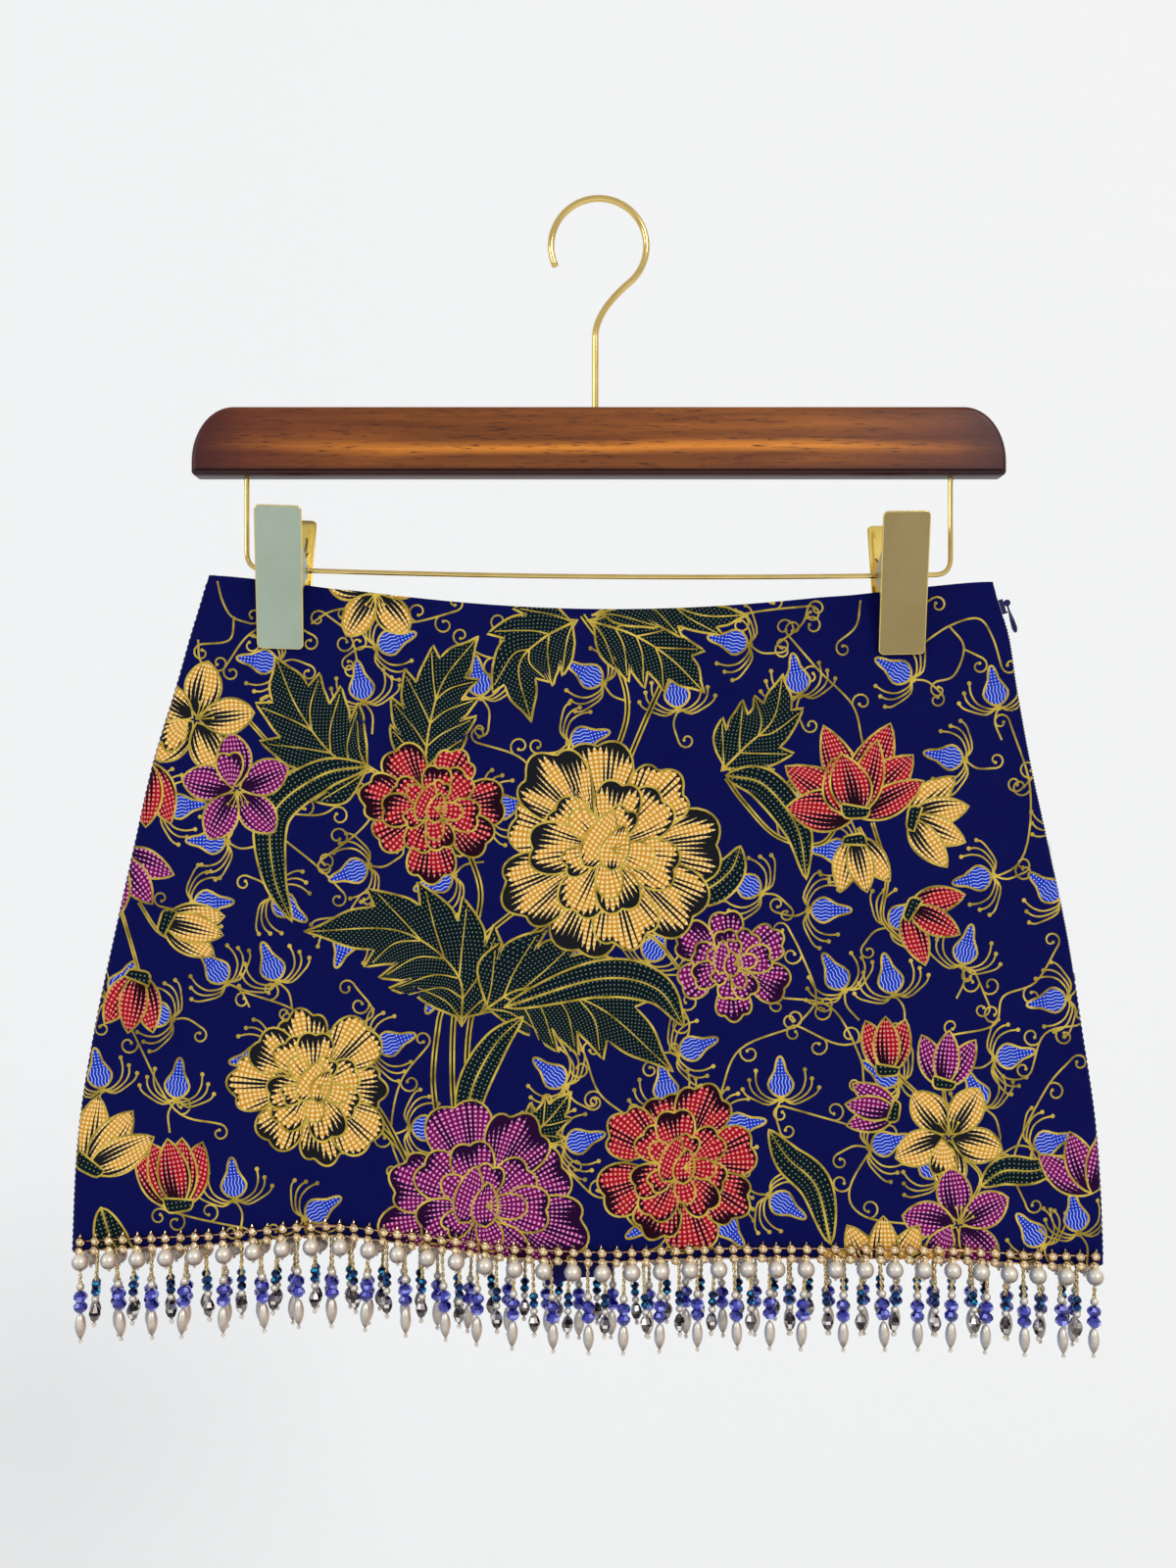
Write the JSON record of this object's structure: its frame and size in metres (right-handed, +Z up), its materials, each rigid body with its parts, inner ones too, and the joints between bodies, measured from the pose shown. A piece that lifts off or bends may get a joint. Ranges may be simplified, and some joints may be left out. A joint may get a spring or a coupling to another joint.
{
  "type": "mini skirt on a clip hanger",
  "caption": "Short cotton skirt with a batik flower print and a beaded hem fringe, open at waist and hem, held flat by the two clips of a wooden hanger.",
  "frame": {"origin": "the highest point inside the hook, where a rail carries the hanger", "axes": "+Z up, +X to the viewer's right as the front faces the viewer, +Y from the front to the back"},
  "size_m": [0.4452, 0.0354, 0.4968],
  "materials": {
    "cotton": "matt waxed cotton with a print",
    "tape": "woven tape",
    "pearl": "pearl lustre",
    "crystal": "cut and foiled",
    "blue_glass": "faceted",
    "dark_bead": "faceted and mirror bright",
    "gold_thread": "twisted metallic thread",
    "wood": "satin lacquer",
    "gold": "polished",
    "satin_gold": "satin",
    "steel": "bright",
    "enamel": "gloss enamel"
  },
  "bodies": {
    "skirt": {"front_panel": "cotton", "back_panel": "cotton", "trim_front": "pearl", "trim_back": "pearl", "zip_tape": "tape", "zip_slider": "enamel", "hanger_bar": "wood", "hook": "gold", "wire_bar": "gold", "clip_left_front_jaw": "satin_gold", "clip_left_back_jaw": "satin_gold", "clip_left_spring": "steel", "clip_right_front_jaw": "satin_gold", "clip_right_back_jaw": "satin_gold", "clip_right_spring": "steel"},
    "zip_pull": {"zip_pull": "enamel"}
  },
  "joints": [
    {"name": "zip_pull_swing", "type": "hinge", "parent": "skirt", "child": "zip_pull", "pos_m": [0.1749, 0, -0.17202], "axis": [0, -1, 0], "range_deg": [0, 150]}
  ]
}
